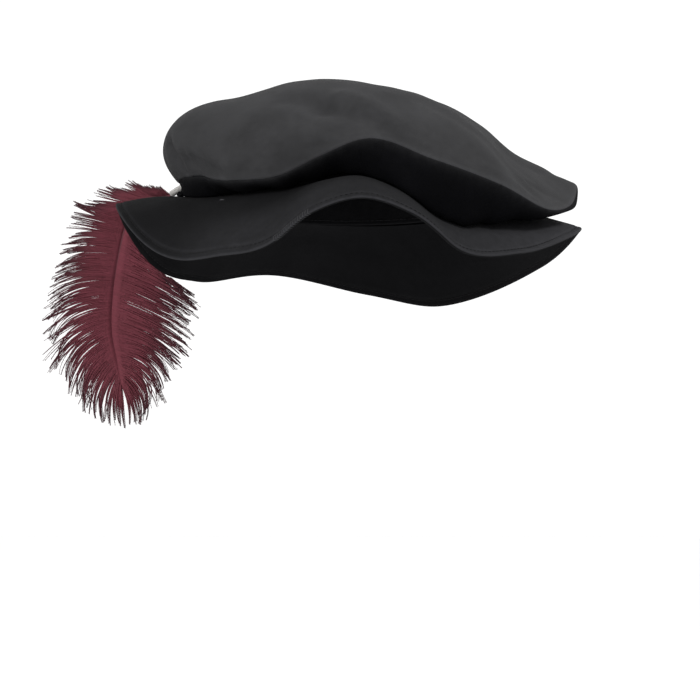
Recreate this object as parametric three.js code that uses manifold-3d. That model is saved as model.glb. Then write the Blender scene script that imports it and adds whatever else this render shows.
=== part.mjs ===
// A soft Tudor hat as it sits on a head: a full round crown gathered into a headband, a wide wavy brim of two
// plies, and one ostrich plume whose quill lies over the brim and whose vane hangs down past its edge.
// Millimetres, +Z up. The wearer looks along -Y, and +X is on the wearer's left.
// The origin is the middle of the head opening, level with the seam between the brim and the headband.
import * as THREE from "three";
import { mergeVertices } from "three/addons/utils/BufferGeometryUtils.js";
import Module from "manifold-3d";

// Driving dimensions. The head oval is 58 cm round.
const HEAD_HALF_WIDTH = 84;
const HEAD_HALF_LENGTH = 100;
const BRIM_WIDTH = 70; // along the cloth, from the head opening to the edge
const CROWN_HEIGHT = 80; // top of the crown above the brim's seam
const CROWN_TOP_X = -6;
const CROWN_TOP_Y = 4;

const CLOTH = 1.5;
const PLY = 1.2;
const PLY_GAP = 0.32;
const SEAM_GAP = 0.35;
const SEAM_ALLOWANCE = 2;
const SEAM_SPREAD = 0.4; // how far each turned-in edge lies off the other

const BAND_THICKNESS = 2;
const BAND_TOP = 20;
const BAND_BOTTOM = -2;
const BAND_GAP = 0.4;

const BAG_INSET = 3; // how far the gathered panel turns in below the seam
const BAG_TOUCH = 0.62; // where along the panel it lies on the brim
const BAG_CLEARANCE = 2.7; // least height of the bag over the middle of the two plies
const GATHERS = 20;
const GATHER_DEPTH = 1.8;
const CALM_AT_SEAM = 0.08; // share of the top panel, next to the seam, over which its folds die away

const CROWN_COLUMNS = 4 * GATHERS; // both panels of the crown, so that their seam edges match
const BRIM_COLUMNS = 64; // both plies and the headband

const PLUME_NORMAL = new THREE.Vector3(0.27, -0.96, 0).normalize(); // the vane faces forward
const LOCKS = 11; // locks of the vane on each side of the shaft
const LOCK_HALF_WIDTH = 11;
const LOCK_HALF_THICKNESS = 1.3;
const LOCK_ROOT = 0.55; // a lock's width at the shaft, as a share of its fullest
const LOCK_TIP = 0.93; // how much of its section it loses on the way to its tip
const LOCK_LIFT = 0.9; // every other lock bows to the front, the rest to the back

const CROWN_COLOUR = 0x3f3f41;
const UNDERSIDE_COLOUR = 0x29292b;
const BRIM_COLOUR = 0x36363a;
const LINING_COLOUR = 0x18181a;
const PLUME_COLOUR = 0x5d353d;
const BINDING_COLOUR = 0x8c8a88;
const CLOTH_ROUGHNESS = 0.95;
const PLUME_ROUGHNESS = 0.7;

// A short table: the names of its columns, then a row for each section or fold.
function table(names, rows) {
  const keys = names.split(" ");
  return rows.map((row) => Object.fromEntries(keys.map((key, i) => [key, row[i]])));
}

// Angles are in degrees round the head: 0 on the wearer's left, 90 at the back, 270 at the front.
// Brim: height of its edge, rise of its middle over a straight line, where the crown's bag rests on it as a
// share of its width, and how high above it the bag lies there.
const BRIM = table("angle edge belly rest lift", [
  [0, -17, 6, 0.4, 3],
  [25, -35, 6, 0.3, 3],
  [60, -58, 7, 0.25, 3],
  [85, -47, 7, 0.25, 3],
  [110, -33, 7, 0.25, 3],
  [140, -42, 7, 0.25, 3],
  [158, -36, 6, 0.28, 10],
  [170, -15, 5, 0.24, 11],
  [182, -2, 4, 0.16, 4],
  [196, -12, 4, 0.12, 3],
  [212, -40, 7, 0.12, 3],
  [235, -46, 8, 0.12, 3],
  [252, -40, 8, 0.12, 3],
  [262, -24, 8, 0.14, 3],
  [273, -16, 8, 0.25, 3],
  [283, -24, 5, 0.5, 3],
  [296, -43, 1, 0.6, 3],
  [318, -42, 0, 0.58, 3],
  [340, -27, 2, 0.55, 3],
]);

// Crown: how far out its top stays flat, the fullest part of its side, the seam round its edge, and how far
// the gathered panel drops below that seam.
const CROWN = table("angle flat sideOut sideUp seamOut seamUp drop", [
  [0, 75, 104, 32, 149, 14, 9],
  [30, 66, 122, 38, 138, 2, 9],
  [60, 74, 138, 40, 128, -2, 9],
  [90, 84, 145, 44, 124, 5, 9],
  [120, 94, 142, 44, 118, 2, 9],
  [150, 108, 142, 44, 110, 9, 7],
  [166, 112, 142, 46, 109, 16, 6],
  [182, 112, 147, 45, 109, 9.5, 8],
  [198, 106, 146, 45, 109, 9, 8.5],
  [212, 98, 144, 45, 111, 10, 9],
  [223, 91, 143, 43, 116, 6, 9],
  [235, 84, 142, 41, 121, 3, 9],
  [250, 78, 140, 44, 124, 4, 9],
  [262, 70, 128, 50, 125, 15, 9],
  [275, 62, 120, 54, 128, 25, 9],
  [292, 64, 122, 52, 134, 13, 9],
  [312, 68, 126, 38, 139, 0, 9],
  [330, 68, 116, 29, 146, -13, 9],
  [345, 72, 108, 27, 151, -6, 9],
]);

// Folds of the crown's top panel. Each end has an angle and a share of the way from the top to the seam.
const FOLDS = table("fromAngle fromShare toAngle toShare width rise", [
  [247, 0.52, 262, 0.68, 9, -3],
  [262, 0.68, 280, 0.9, 8, -3],
  [268, 0.6, 284, 0.88, 8, 2.5],
  [233, 0.9, 262, 0.9, 6, 1.5],
  [228, 0.97, 200, 0.85, 5, -2],
  [196, 0.72, 188, 0.96, 6, -2],
  [20, 0.7, 62, 0.9, 10, -2],
  [100, 0.72, 135, 0.9, 10, -2],
  [300, 0.55, 325, 0.92, 10, -1.5],
]);

// Shaft of the plume, from the end sewn to the hat to its tip.
const SHAFT = table("x y z radius", [
  [-107.8, 27.4, 17.4, 1.1],
  [-114.5, 30, 14.6, 1.2],
  [-121.5, 32, 10.6, 1.3],
  [-128, 34.5, 9.6, 1.4],
  [-136, 38, 9.6, 1.4],
  [-145, 43.5, 6, 1.4],
  [-152, 50, -6, 1.3],
  [-158, 56.5, -27, 1.2],
  [-162, 60.5, -52, 1.1],
  [-163, 62, -78, 1],
  [-159, 62, -101, 0.9],
  [-156, 61, -116, 0.8],
]);
const BINDING = { from: 0.03, to: 0.081, clearance: 0.62, thickness: 0.7, sides: 10, rings: 5 };

// Vane: at a share of the shaft's length, how far the locks reach to each side, how many degrees they lean
// away from the shaft's tip, and how far their ends sink.
const VANE = table("along left right lean droop", [
  [0.103, 16, 0, 18, 0],
  [0.186, 22, 0, 30, 0],
  [0.333, 36, 8, 52, 2],
  [0.41, 44, 37, 62, 6],
  [0.56, 45, 63, 66, 10],
  [0.73, 43, 54, 60, 14],
  [0.88, 35, 38, 45, 12],
  [1, 24, 22, 22, 6],
]);
const LEAST_LOCK = 11; // a shorter lock than this is left out

const radians = THREE.MathUtils.degToRad;
const lerp = THREE.MathUtils.lerp;

// A smooth value of a table's column at any angle, the table being a closed round.
function around(rows, key, angle) {
  const a = ((angle % 360) + 360) % 360;
  const n = rows.length;
  let i = n - 1;
  while (i > 0 && rows[i].angle > a) i -= 1;
  const step = (k) => (rows[(k + 1) % n].angle - rows[k % n].angle + 360) % 360;
  const change = (k) => (rows[(k + 1) % n][key] - rows[k % n][key]) / step(k);
  const slope = (k) => {
    const before = step(k + n - 1);
    const after = step(k);
    return (change(k + n - 1) * after + change(k) * before) / (before + after);
  };
  const width = step(i);
  const u = ((a - rows[i].angle + 360) % 360) / width;
  const startValue = rows[i][key];
  const endValue = rows[(i + 1) % n][key];
  return (
    (2 * u ** 3 - 3 * u ** 2 + 1) * startValue +
    (u ** 3 - 2 * u ** 2 + u) * width * slope(i) +
    (3 * u ** 2 - 2 * u ** 3) * endValue +
    (u ** 3 - u ** 2) * width * slope((i + 1) % n)
  );
}

// A value of a table's column at a share of its length.
function between(rows, key, share) {
  const last = rows.length - 1;
  const x = THREE.MathUtils.clamp(share, rows[0].along, rows[last].along);
  let i = 0;
  while (i < last - 1 && rows[i + 1].along < x) i += 1;
  return THREE.MathUtils.mapLinear(x, rows[i].along, rows[i + 1].along, rows[i][key], rows[i + 1][key]);
}

function bezier(p0, p1, p2, p3, t) {
  const s = 1 - t;
  return s ** 3 * p0 + 3 * s * s * t * p1 + 3 * s * t * t * p2 + t ** 3 * p3;
}

// The head oval, grown outwards by a distance, with its outward direction.
function oval(angle, grow) {
  const a = radians(angle);
  const out = new THREE.Vector3(Math.cos(a) / HEAD_HALF_WIDTH, Math.sin(a) / HEAD_HALF_LENGTH, 0).normalize();
  const place = new THREE.Vector3(HEAD_HALF_WIDTH * Math.cos(a), HEAD_HALF_LENGTH * Math.sin(a), 0);
  return { place: place.addScaledVector(out, grow), out };
}

// How far the brim reaches in plan: its cloth keeps its width, so a steep or bellied stretch reaches less.
function brimReach(angle) {
  const chord = BRIM_WIDTH - ((8 / 3) * around(BRIM, "belly", angle) ** 2) / BRIM_WIDTH;
  return Math.sqrt(chord ** 2 - around(BRIM, "edge", angle) ** 2);
}

function brimHeight(angle, share) {
  return around(BRIM, "edge", angle) * share + 4 * around(BRIM, "belly", angle) * share * (1 - share);
}

// The middle of the brim's two plies.
function brimPoint(angle, share) {
  const { place } = oval(angle, brimReach(angle) * share);
  place.z = brimHeight(angle, share);
  return place;
}

// The angle whose outward line on the head oval passes through a point, and how far along that line it is.
function fromHead(x, y) {
  let angle = THREE.MathUtils.radToDeg(Math.atan2(y / HEAD_HALF_LENGTH, x / HEAD_HALF_WIDTH));
  let distance = 0;
  for (let turn = 0; turn < 8; turn += 1) {
    const { place, out } = oval(angle, 0);
    distance = (x - place.x) * out.x + (y - place.y) * out.y;
    angle = THREE.MathUtils.radToDeg(
      Math.atan2((y - out.y * distance) / HEAD_HALF_LENGTH, (x - out.x * distance) / HEAD_HALF_WIDTH),
    );
  }
  return { angle, distance };
}

function outward(angle) {
  return new THREE.Vector3(Math.cos(radians(angle)), Math.sin(radians(angle)), 0);
}

function seamPoint(angle) {
  const point = outward(angle).multiplyScalar(around(CROWN, "seamOut", angle));
  point.z = around(CROWN, "seamUp", angle);
  return point;
}

// The crown's top panel without its folds, from its middle to the seam.
function smoothCrown(angle, share) {
  const out = outward(angle);
  const flat = around(CROWN, "flat", angle);
  const side = around(CROWN, "sideOut", angle);
  const seam = seamPoint(angle);
  return new THREE.Vector3(
    bezier(CROWN_TOP_X, out.x * flat, out.x * side, seam.x, share),
    bezier(CROWN_TOP_Y, out.y * flat, out.y * side, seam.y, share),
    bezier(CROWN_HEIGHT, CROWN_HEIGHT + 2, around(CROWN, "sideUp", angle), seam.z, share),
  );
}

const FOLD_LINES = FOLDS.map((fold) => ({
  line: new THREE.Line3(
    smoothCrown(fold.fromAngle, fold.fromShare),
    smoothCrown(fold.toAngle, fold.toShare),
  ),
  width: fold.width,
  rise: fold.rise,
}));

// The direction that a surface faces, from two short steps on it.
function facing(surface, angle, share) {
  const turn = 0.5;
  const step = 0.01;
  const round = surface(angle + turn, share).sub(surface(angle - turn, share));
  const along = surface(angle, Math.min(share + step, 1)).sub(surface(angle, Math.max(share - step, 0)));
  return along.cross(round).normalize();
}

function crownPoint(angle, share) {
  const point = smoothCrown(angle, share);
  if (share === 0) return point;
  const nearest = new THREE.Vector3();
  const rise = FOLD_LINES.reduce((sum, fold) => {
    fold.line.closestPointToPoint(point, true, nearest);
    return sum + fold.rise * Math.exp(-((nearest.distanceTo(point) / fold.width) ** 2));
  }, 0);
  const calmAtSeam = Math.min(1, (1 - share) / CALM_AT_SEAM);
  return point.addScaledVector(facing(smoothCrown, angle, share), rise * calmAtSeam);
}

// The gathered panel without its gathers: from the seam down to its rest on the brim, then up to the band.
function smoothBag(angle, share) {
  const seam = seamPoint(angle);
  const out = outward(angle);
  const top = oval(angle, BAND_THICKNESS + BAND_GAP).place.setZ(BAND_TOP);
  const rest = brimPoint(angle, around(BRIM, "rest", angle));
  rest.z += around(BRIM, "lift", angle);
  const belowSeam = seam.clone().addScaledVector(out, -BAG_INSET);
  belowSeam.z -= around(CROWN, "drop", angle);
  const s = 1 - BAG_TOUCH;
  const beforeTop = rest
    .clone()
    .addScaledVector(seam, -(s ** 3))
    .addScaledVector(belowSeam, -3 * s * s * BAG_TOUCH)
    .addScaledVector(top, -(BAG_TOUCH ** 3))
    .divideScalar(3 * s * BAG_TOUCH * BAG_TOUCH);
  const point = new THREE.Vector3(
    bezier(seam.x, belowSeam.x, beforeTop.x, top.x, share),
    bezier(seam.y, belowSeam.y, beforeTop.y, top.y, share),
    bezier(seam.z, belowSeam.z, beforeTop.z, top.z, share),
  );
  const { angle: nearAngle, distance } = fromHead(point.x, point.y);
  const outsideBand = oval(nearAngle, Math.max(distance, BAND_THICKNESS + BAND_GAP)).place;
  const brimShare = THREE.MathUtils.clamp(distance / brimReach(nearAngle), 0, 1);
  return outsideBand.setZ(Math.max(point.z, brimHeight(nearAngle, brimShare) + BAG_CLEARANCE));
}

function bagPoint(angle, share) {
  const wave = (1 - Math.cos(radians(GATHERS * angle))) / 2;
  const inwards = -GATHER_DEPTH * wave * Math.sin(Math.PI * share) ** 2;
  return smoothBag(angle, share).addScaledVector(facing(smoothBag, angle, share), inwards);
}

function bandPoint(angle, share) {
  return oval(angle, 0).place.setZ(lerp(BAND_TOP, BAND_BOTTOM, share));
}

function closedGeometry(positions, triangles) {
  const geometry = new THREE.BufferGeometry();
  geometry.setAttribute("position", new THREE.Float32BufferAttribute(positions, 3));
  geometry.setIndex(triangles);
  geometry.computeVertexNormals();
  return geometry;
}

// A closed cloth panel on a surface: a front face and a back face at two distances along its normal, and the
// cut edges between them. A panel with a middle starts at one point. turned places the points of an edge that
// is turned in at a seam.
function panel({ surface, columns, rows, start = 0, middle = false, front, back, turned = null }) {
  const positions = [];
  const triangles = [];
  [front, back].forEach((distance, face) => {
    for (let k = 0; k <= rows; k += 1) {
      const share = lerp(start, 1, k / rows);
      for (let i = 0; i < columns; i += 1) {
        const angle = (360 * i) / columns;
        const up = new THREE.Vector3(0, 0, 1);
        const normal = middle && k === 0 ? up : facing(surface, angle, share);
        let point = surface(angle, share).addScaledVector(normal, distance);
        if (turned && turned.row === k) point = turned.edge(angle, face);
        positions.push(point.x, point.y, point.z);
      }
    }
  });
  const at = (face, k, i) => (face * (rows + 1) + k) * columns + (middle && k === 0 ? 0 : i % columns);
  const quad = (a, b, c, d) => {
    if (a !== d) triangles.push(a, c, d);
    if (a !== b) triangles.push(a, b, c);
  };
  for (let i = 0; i < columns; i += 1) {
    for (let k = 0; k < rows; k += 1) {
      quad(at(0, k, i), at(0, k + 1, i), at(0, k + 1, i + 1), at(0, k, i + 1));
      quad(at(1, k, i), at(1, k, i + 1), at(1, k + 1, i + 1), at(1, k + 1, i));
    }
    quad(at(0, rows, i), at(1, rows, i), at(1, rows, i + 1), at(0, rows, i + 1));
    if (!middle) quad(at(0, 0, i + 1), at(1, 0, i + 1), at(1, 0, i), at(0, 0, i));
  }
  return closedGeometry(positions, triangles);
}

// The two panels meet at the crown's seam, each turned in by the allowance. side is 1 above it, -1 below.
function seamEdge(side) {
  return (angle, face) => {
    const point = seamPoint(angle).addScaledVector(outward(angle), face === 0 ? 0 : -SEAM_ALLOWANCE);
    point.z += side * (SEAM_GAP / 2 + (face === 0 ? 0 : SEAM_SPREAD));
    return point;
  };
}

function crownTop() {
  const rows = 10;
  const turned = { row: rows, edge: seamEdge(1) };
  const columns = CROWN_COLUMNS;
  return panel({ surface: crownPoint, columns, rows, middle: true, front: 0, back: -CLOTH, turned });
}

function crownUnderside() {
  const turned = { row: 0, edge: seamEdge(-1) };
  return panel({ surface: bagPoint, columns: CROWN_COLUMNS, rows: 6, front: 0, back: -CLOTH, turned });
}

function headband() {
  return panel({ surface: bandPoint, columns: BRIM_COLUMNS, rows: 1, front: BAND_THICKNESS, back: 0 });
}

// One ply of the brim, above or below the middle of the two.
function brimPly(front, back) {
  const start = (BAND_THICKNESS + BAND_GAP) / Math.min(...BRIM.map((row) => brimReach(row.angle)));
  return panel({ surface: brimPoint, columns: BRIM_COLUMNS, rows: 4, start, front, back });
}

// A closed body through rings of a given number of sides, with flat ends. Each section has its centre, the
// two directions across it and its half width and half thickness.
function loft(sections, sides) {
  const positions = [];
  const triangles = [];
  for (const { centre, wide, thick, halfWidth, halfThickness } of sections) {
    for (let j = 0; j < sides; j += 1) {
      const a = (2 * Math.PI * j) / sides;
      const point = centre
        .clone()
        .addScaledVector(wide, halfWidth * Math.cos(a))
        .addScaledVector(thick, halfThickness * Math.sin(a));
      positions.push(point.x, point.y, point.z);
    }
  }
  const last = sections.length - 1;
  for (let j = 0; j < sides; j += 1) {
    const next = (j + 1) % sides;
    for (let k = 0; k < last; k += 1) {
      const [a, b, c, d] = [k * sides + j, k * sides + next, (k + 1) * sides + next, (k + 1) * sides + j];
      triangles.push(a, b, c, a, c, d);
    }
    if (j > 0 && j < sides - 1) {
      triangles.push(0, next, j);
      triangles.push(last * sides, last * sides + j, last * sides + next);
    }
  }
  return closedGeometry(positions, triangles);
}

const shaftCurve = new THREE.CatmullRomCurve3(SHAFT.map((row) => new THREE.Vector3(row.x, row.y, row.z)));

function shaftRadius(share) {
  const place = share * (SHAFT.length - 1);
  const i = Math.min(Math.floor(place), SHAFT.length - 2);
  return lerp(SHAFT[i].radius, SHAFT[i + 1].radius, place - i);
}

// The shaft's place and directions at a share of its length: towards the tip, across the vane, and out of it.
function shaftFrame(share) {
  const tip = shaftCurve.getTangentAt(share);
  const across = tip.clone().cross(PLUME_NORMAL).normalize();
  return { centre: shaftCurve.getPointAt(share), tip, across, face: across.clone().cross(tip) };
}

function shaft() {
  const steps = 30;
  const sections = [];
  for (let k = 0; k <= steps; k += 1) {
    const { centre, across, face } = shaftFrame(k / steps);
    const radius = shaftRadius(k / steps);
    sections.push({ centre, wide: face, thick: across, halfWidth: radius, halfThickness: radius });
  }
  return loft(sections, 6);
}

// One lock of the vane: a flat tapering strip that leaves the shaft, leans to its tip and sinks at its end.
function lock(share, side, length, lift) {
  const { centre, tip, across, face } = shaftFrame(share);
  const lean = radians(between(VANE, "lean", share));
  const droop = between(VANE, "droop", share);
  const away = tip.clone().multiplyScalar(Math.cos(lean)).addScaledVector(across, side * Math.sin(lean));
  const steps = 5;
  const place = (u) =>
    centre
      .clone()
      .addScaledVector(away, length * u)
      .addScaledVector(face, lift * Math.sin(Math.PI * u))
      .add(new THREE.Vector3(0, 0, -droop * u * u));
  const sections = [];
  for (let k = 0; k <= steps; k += 1) {
    const u = k / steps;
    const forward = place(u + 0.01).sub(place(u - 0.01)).normalize();
    const wide = face.clone().cross(forward).normalize();
    const thick = forward.clone().cross(wide);
    const taper = Math.sqrt(1 - LOCK_TIP * u ** 1.6);
    sections.push({
      centre: place(u),
      wide,
      thick,
      halfWidth: LOCK_HALF_WIDTH * taper * lerp(LOCK_ROOT, 1, Math.min(1, 4 * u)),
      halfThickness: LOCK_HALF_THICKNESS * taper,
    });
  }
  return loft(sections, 4);
}

function vane() {
  const locks = [];
  const first = VANE[0].along;
  for (let i = 0; i < LOCKS; i += 1) {
    for (const side of [1, -1]) {
      const offset = side > 0 ? 0 : 0.5;
      const share = lerp(first, 1, (i + offset) / LOCKS);
      const length = between(VANE, side > 0 ? "left" : "right", share);
      const lift = i % 2 === 0 ? LOCK_LIFT : -LOCK_LIFT;
      if (length >= LEAST_LOCK) locks.push(lock(share, side, length, lift));
    }
  }
  const tip = VANE[VANE.length - 1];
  locks.push(lock(tip.along, 1, tip.left, 0));
  return locks;
}

// The thread wrapped round the quill: a sleeve open at both ends.
function quillBinding() {
  const { from, to, clearance, thickness, sides, rings } = BINDING;
  const positions = [];
  const triangles = [];
  for (const extra of [clearance + thickness, clearance]) {
    for (let k = 0; k < rings; k += 1) {
      const share = lerp(from, to, k / (rings - 1));
      const { centre, across, face } = shaftFrame(share);
      const radius = shaftRadius(share) + extra;
      for (let j = 0; j < sides; j += 1) {
        const a = (2 * Math.PI * j) / sides;
        const point = centre
          .clone()
          .addScaledVector(face, radius * Math.cos(a))
          .addScaledVector(across, radius * Math.sin(a));
        positions.push(point.x, point.y, point.z);
      }
    }
  }
  const at = (layer, k, j) => (layer * rings + k) * sides + (j % sides);
  const quad = (a, b, c, d) => triangles.push(a, b, c, a, c, d);
  for (let j = 0; j < sides; j += 1) {
    for (let k = 0; k < rings - 1; k += 1) {
      quad(at(0, k, j), at(0, k, j + 1), at(0, k + 1, j + 1), at(0, k + 1, j));
      quad(at(1, k, j + 1), at(1, k, j), at(1, k + 1, j), at(1, k + 1, j + 1));
    }
    const end = rings - 1;
    quad(at(0, end, j), at(0, end, j + 1), at(1, end, j + 1), at(1, end, j));
    quad(at(0, 0, j + 1), at(0, 0, j), at(1, 0, j), at(1, 0, j + 1));
  }
  return closedGeometry(positions, triangles);
}

const wasm = await Module();
wasm.setup();

function solidOf(geometry) {
  const bare = geometry.clone();
  bare.deleteAttribute("normal");
  const merged = mergeVertices(bare);
  return new wasm.Manifold(
    new wasm.Mesh({
      numProp: 3,
      vertProperties: merged.attributes.position.array,
      triVerts: new Uint32Array(merged.index.array),
    }),
  );
}

// Joins closed geometries that run into each other to one closed geometry, with any pocket inside it filled.
function fuse(geometries) {
  const joined = geometries.map(solidOf).reduce((sum, next) => sum.add(next));
  const [outer] = joined.decompose().sort((a, b) => b.volume() - a.volume());
  const mesh = outer.getMesh();
  return closedGeometry(Array.from(mesh.vertProperties), Array.from(mesh.triVerts));
}

function piece(name, geometry, color, roughness) {
  const material = new THREE.MeshStandardMaterial({ color, roughness, metalness: 0 });
  const mesh = new THREE.Mesh(geometry, material);
  mesh.name = name;
  return mesh;
}

const hat = new THREE.Group();
hat.name = "tudor_hat";
hat.add(piece("crown_top", crownTop(), CROWN_COLOUR, CLOTH_ROUGHNESS));
hat.add(piece("crown_underside", crownUnderside(), UNDERSIDE_COLOUR, CLOTH_ROUGHNESS));
hat.add(piece("headband", headband(), LINING_COLOUR, CLOTH_ROUGHNESS));
hat.add(piece("brim_upper", brimPly(PLY_GAP / 2 + PLY, PLY_GAP / 2), BRIM_COLOUR, CLOTH_ROUGHNESS));
hat.add(piece("brim_under", brimPly(-PLY_GAP / 2, -PLY_GAP / 2 - PLY), LINING_COLOUR, CLOTH_ROUGHNESS));
hat.add(piece("plume", fuse([shaft(), ...vane()]), PLUME_COLOUR, PLUME_ROUGHNESS));
hat.add(piece("quill_binding", quillBinding(), BINDING_COLOUR, CLOTH_ROUGHNESS));

export default hat;
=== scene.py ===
# A soft Tudor hat of black cloth as it sits on a head: a full crown of two panels gathered into a headband,
# a wide wavy brim of two plies with a stitched edge, and one ostrich plume tied to the crown at its quill.
# Blender works in metres. The sizes and tables below are in millimetres, and MM turns them into metres.
import math

import bpy
import numpy as np
from mathutils import Matrix, Vector, noise


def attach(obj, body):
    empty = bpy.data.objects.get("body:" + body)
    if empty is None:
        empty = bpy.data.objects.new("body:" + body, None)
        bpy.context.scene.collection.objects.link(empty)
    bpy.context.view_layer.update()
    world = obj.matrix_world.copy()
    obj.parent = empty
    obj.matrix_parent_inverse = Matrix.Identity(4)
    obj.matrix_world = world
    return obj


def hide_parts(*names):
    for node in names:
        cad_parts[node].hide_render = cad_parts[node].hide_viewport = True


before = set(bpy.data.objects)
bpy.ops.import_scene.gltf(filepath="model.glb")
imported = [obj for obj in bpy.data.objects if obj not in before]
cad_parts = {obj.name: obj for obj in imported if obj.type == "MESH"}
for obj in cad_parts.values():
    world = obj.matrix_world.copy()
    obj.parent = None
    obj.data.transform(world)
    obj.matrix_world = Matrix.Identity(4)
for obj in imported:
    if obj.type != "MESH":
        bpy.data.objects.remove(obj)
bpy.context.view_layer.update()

MM = 0.001

# Sizes of the hat, as in its frame.
HEAD_HALF_WIDTH = 84
HEAD_HALF_LENGTH = 100
BRIM_WIDTH = 70
CROWN_TOP = (-6, 4, 80)
CROWN_SWELL = 2  # how far above its middle the crown's curve aims
CLOTH = 1.5
PLY = 1.2
PLY_GAP = 0.32
BRIM_HALF = PLY + PLY_GAP / 2  # from the brim's middle to its faces
BAND_THICKNESS = 2
BAND_TOP = 20
BAND_BOTTOM = -2
BAND_HEIGHT = BAND_TOP - BAND_BOTTOM
BAND_GAP = 0.4
BAG_TOUCH = 0.62  # where along the gathered panel it rests on the brim
BAG_CLEARANCE = 1.8
BAG_HOLE = 65  # radius of the hole in its flat cut
CALM_AT_SEAM = 0.08  # share of the top panel over which folds fade out
CALM_AT_MIDDLE = 0.1
PLUME_NORMAL = np.array([0.27, -0.96, 0]) / math.hypot(0.27, 0.96)

# How finely the cloth is modelled: columns round the head, and rows from one seam to the other.
CROWN_COLUMNS = 360
CROWN_ROWS = 70
BAG_ROWS = 44
BRIM_COLUMNS = 480
BRIM_ROWS = 24
BAND_COLUMNS = 240
SEAM_ROWS = {"top": 14, "topShare": 0.038, "wideTo": 0.955, "bag": 12, "bagShare": 0.05, "crowding": 1.5}
EDGE_STEPS = (0.2, 0.8, 12)  # between rows beside an edge: the first step, the last and how many
# Short steps, in degrees and share, that find how a surface faces. They are longer on the gathered panel,
# which lies flat on the brim in places.
SHORT_STEPS = (0.5, 0.01)
BAG_STEPS = (2, 0.04)
NEAREST_STEPS = 8
SHARP_CLOTH = 50  # degrees between faces with a sharp edge
SHARP_HORN = 60
UPRIGHT = 0.9  # how much of a direction points up or down when it counts as upright

# Finish of the crown's seam.
SEAM_ROLL = 1.6  # width over which a panel turns in to the seam
SEAM_SINK = 0.45  # how deep the seam lies
SEAM_CLOTH = 0.3  # thickness of a panel there
SEAM_TAPER = 0.36  # how much thicker it grows with each millimetre
SEAM_APART = 0.06

# Finish of the brim: widths in from its edge, heights from its middle, puckers and soft swells.
EDGE_FINE = 8  # with closely spaced rows
EDGE_ROUND = 1.5
EDGE_CALM = 2.5
EDGE_OUTSIDE = 0.12
EDGE_INSIDE = 0.06
EDGE_TIGHT = 0.1
PUCKER_WIDTH = 9
SWELL_AT_BAND = 12
SWELL_AT_EDGE = 6

# Finish of the headband. Sizes come with the widths over which they fall off.
BAND_FINE = 3
BAND_ROUND = 1
BAND_FALL = 0.9
BAND_SLACK = 0.05
BAND_GROOVE = (0.25, 0.9)
BAND_SEAM = (0.5, 0.7)
BAND_SEAM_ANGLE = 90

# Where cloth turns paler: worn at seams and the band's edges, with painted highlights along the brim's edge
# and beside its stitches, and painted light near the gathered panel's seam; how much, and over what width.
SEAM_WEAR = (0.5, 2.2)
EDGE_WEAR_AND_HIGHLIGHT = (1, 0.7)
STITCH_WEAR_AND_HIGHLIGHT = (0.3, 0.8)
BAND_WEAR = (0.4, 0.9)
BAG_LIGHT_WIDTH = 3
STITCH_WEAR_AND_HIGHLIGHT_INSET = 1.3
HANDLED_AND_LIT = (0.45, 0.8)  # shares of the brim over which it turns paler: rubbing by hands, and painted light beyond the crown's shadow

# Stitches by machine.
STITCH_INSET = 3.6  # the brim's row, in from its edge
BAND_STITCHES = (3, BAND_HEIGHT - 3)  # down from the headband's top
BAND_STITCH_PROUD = 0.12
STITCH_PITCH = 3.1
STITCH_LENGTH = 2.3
STITCH_RADIUS = 0.27
STITCH_SIDES = 6
STITCH_SINK = 0.38  # how deep a row of stitches pulls the cloth in
STITCH_SPREAD = 1.1
STITCH_LINE_STEPS = 8  # in a column of the cloth
# A stitch from hole to hole, and how many of its radii it stands proud.
STITCH_SHARE = np.array([0, 0.12, 0.3, 0.5, 0.7, 0.88, 1])
STITCH_RISE = np.array([-1.6, -0.5, 0.45, 0.75, 0.45, -0.5, -1.6])

# Stitches by hand that close a gap in the brim's edge.
CLOSING = {"start": 252.4, "end": 261.6, "step": 0.58, "slant": 0.25, "reach": 3.4, "radius": 0.15}
CLOSING_PROUD = 0.1
CLOSING_RISE = np.array([0.7, 1, 1, 0.85, 0.4])
CLOSING_OUT = np.array([0, 0, 0, 0.2, 0.45])

# The tack that holds the crown down on the brim, and its gathers flat.
TACK = {"angle": 217, "share": 0.3, "half_turn": 1, "radius": 0.36, "sides": 8, "apart": 0.7, "rise": 0.5}
TACK_ARCH = np.array([0.2, 0.8, 1, 1.05, 1, 0.8, 0.2])
FLAT_BY_TACK = {"angle": 201, "width": 13}

# The plume's barbs.
BARBS = 620  # on each side of the shaft
BARB_STEPS = 14
BARB_SIDES = 3
BARB_HALF_WIDTH = 0.55  # with its down, at the shaft
BARB_HALF_THICKNESS = 0.18
BARB_END = 0.34  # share of it that is left at the end
BARB_TAPER_FROM = 0.35
BARB_CROWDING = 1.12  # towards the quill
BARB_JITTER = 0.4
# How much barbs vary in lean, reach, bend and bow, and the powers by which they bend, bow and droop.
BARB_SPREAD = (3, 0.1, 0.25, 1.2)
BEND_GROWTH = 1.6
BOW_GROWTH = 1.4
DROOP_GROWTH = 2.3
BARB_ARCH = 1.2
ROOT_RISE = 0.8  # share of the shaft's radius at which barbs leave it
SPREAD = 0.5  # deviation of random numbers that stay between -1 and 1
STRAND = 3.5  # barbs that cling together at their ends
STRAND_SIZES = (0.4, 1.6)
STRAND_SPREAD = (1.6, 1.3, 1.8, 2.2)  # how much more they vary than single barbs
STRAND_FREE = (0.22, 0.12)  # share of a barb that stays free, and how that varies
CLING = 0.82
CLING_GROWTH = 1.5
OVER_BRIM = 0.3  # share of the shaft up to which barbs lie over the brim
UNDER_BRIM = 2.4  # room that the barbs keep to the middle of the brim
BRIM_MARGIN = 1
BARBULES = 20  # pairs along a barb
BARBULES_ALONG = (0.08, 0.98)
BARBULE_LENGTH = 2.4
BARBULE_SHORTER = 0.4  # at a barb's end
BARBULE_SIZES = (0.5, 1.25)
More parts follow.
